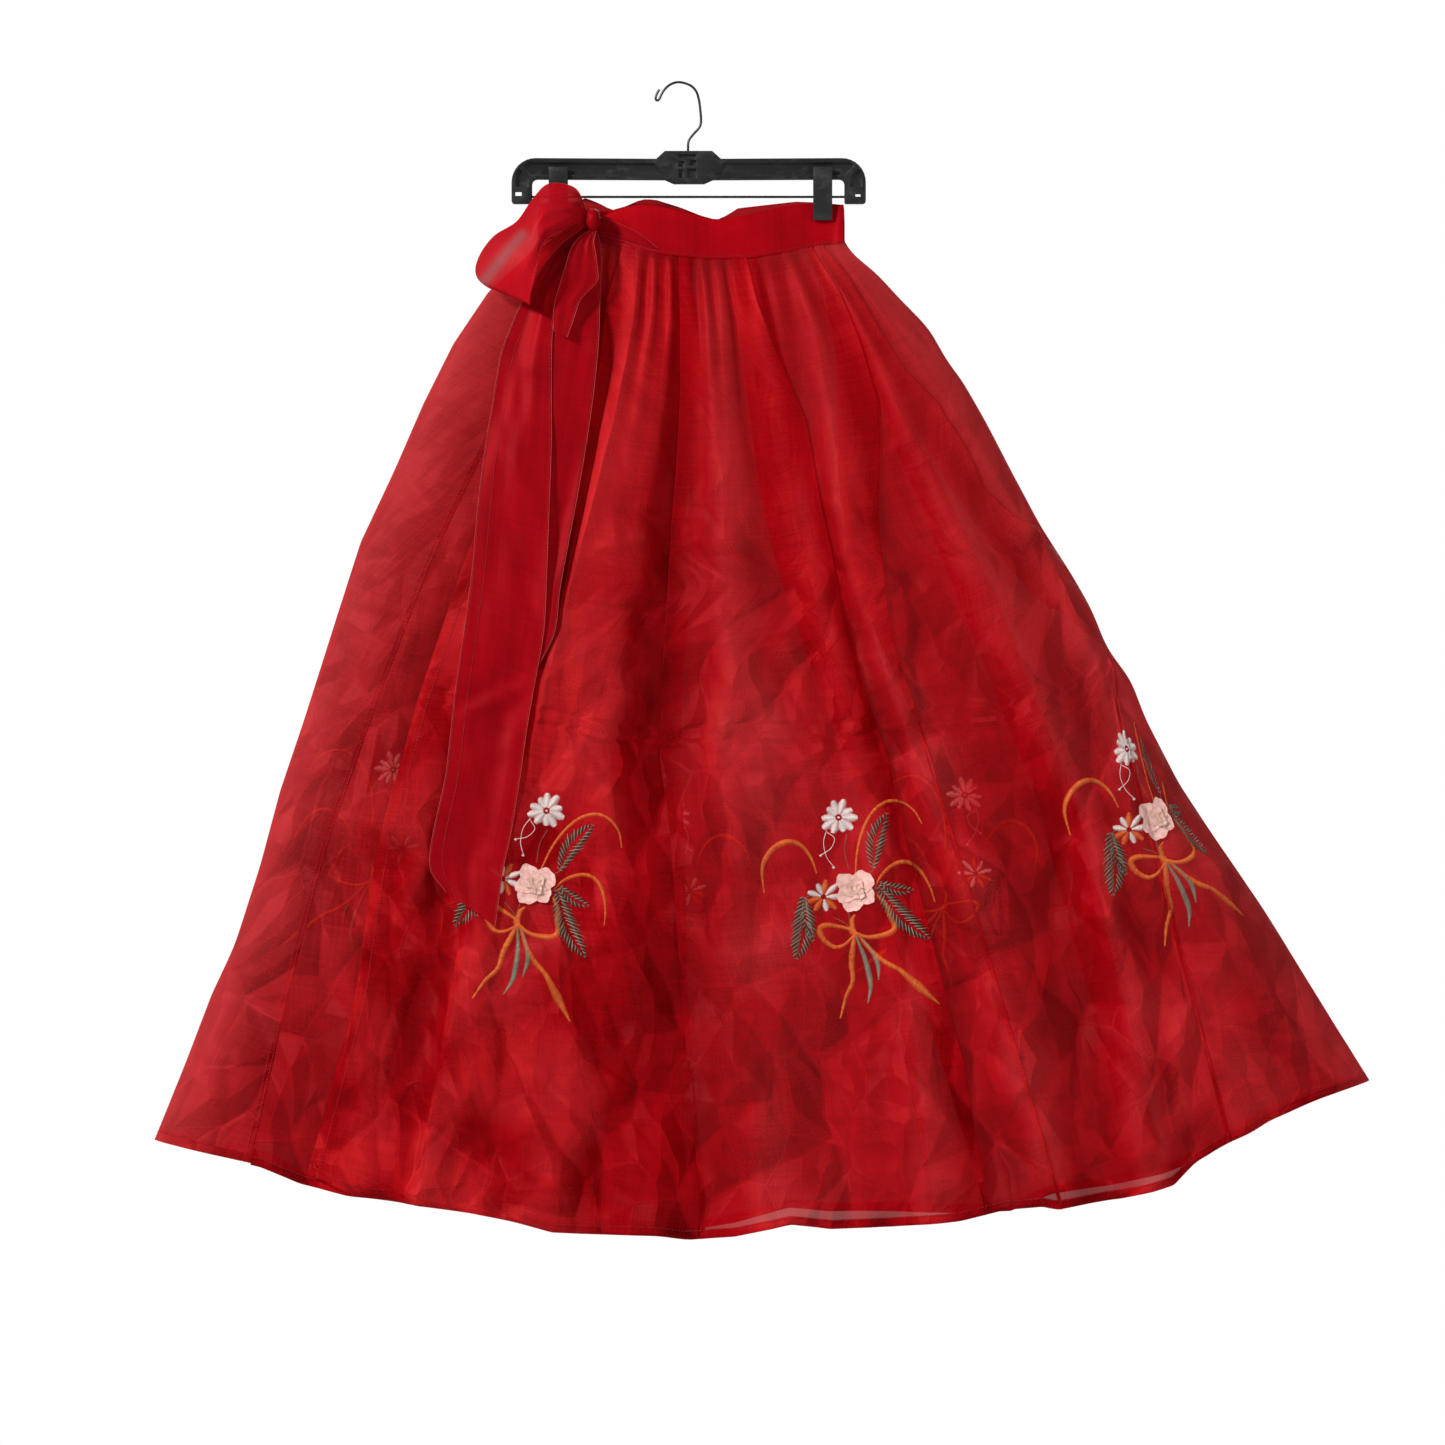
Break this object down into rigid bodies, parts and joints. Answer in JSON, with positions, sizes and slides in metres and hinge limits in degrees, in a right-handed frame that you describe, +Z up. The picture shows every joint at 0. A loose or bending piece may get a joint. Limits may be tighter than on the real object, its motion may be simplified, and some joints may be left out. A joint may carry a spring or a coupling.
{
  "type": "wrap skirt on a clip hanger",
  "caption": "Long sheer organza wrap skirt, gathered into a waistband, its sash tied in a bow at the side, embroidered sprays above the hem, held on a clip hanger.",
  "frame": {"origin": "underside of the top of the hook, where a peg, rail or rod holds the hanger", "axes": "+X along the hanger to the viewer's right, -Y towards the viewer, +Z up"},
  "size_m": [1.2223, 0.166, 1.1632],
  "materials": {
    "red_organza": "matte",
    "red_organza_double": "matte",
    "black_plastic": "matte",
    "dark_steel": "satin"
  },
  "bodies": {
    "root": {"front_panel": "red_organza", "back_panel": "red_organza", "underlap_panel": "red_organza", "waistband": "red_organza_double", "sash_strap": "red_organza_double", "sash_knot": "red_organza_double", "sash_loop": "red_organza_double", "sash_short_end": "red_organza_double", "sash_tail_front": "red_organza_double", "sash_tail_back": "red_organza_double", "hanger_bar": "black_plastic", "hanger_hook": "dark_steel", "hanger_rod": "dark_steel", "clip_left_front": "black_plastic", "clip_left_rear": "black_plastic", "clip_left_spring": "dark_steel", "clip_right_front": "black_plastic", "clip_right_rear": "black_plastic", "clip_right_spring": "dark_steel"}
  },
  "joints": []
}
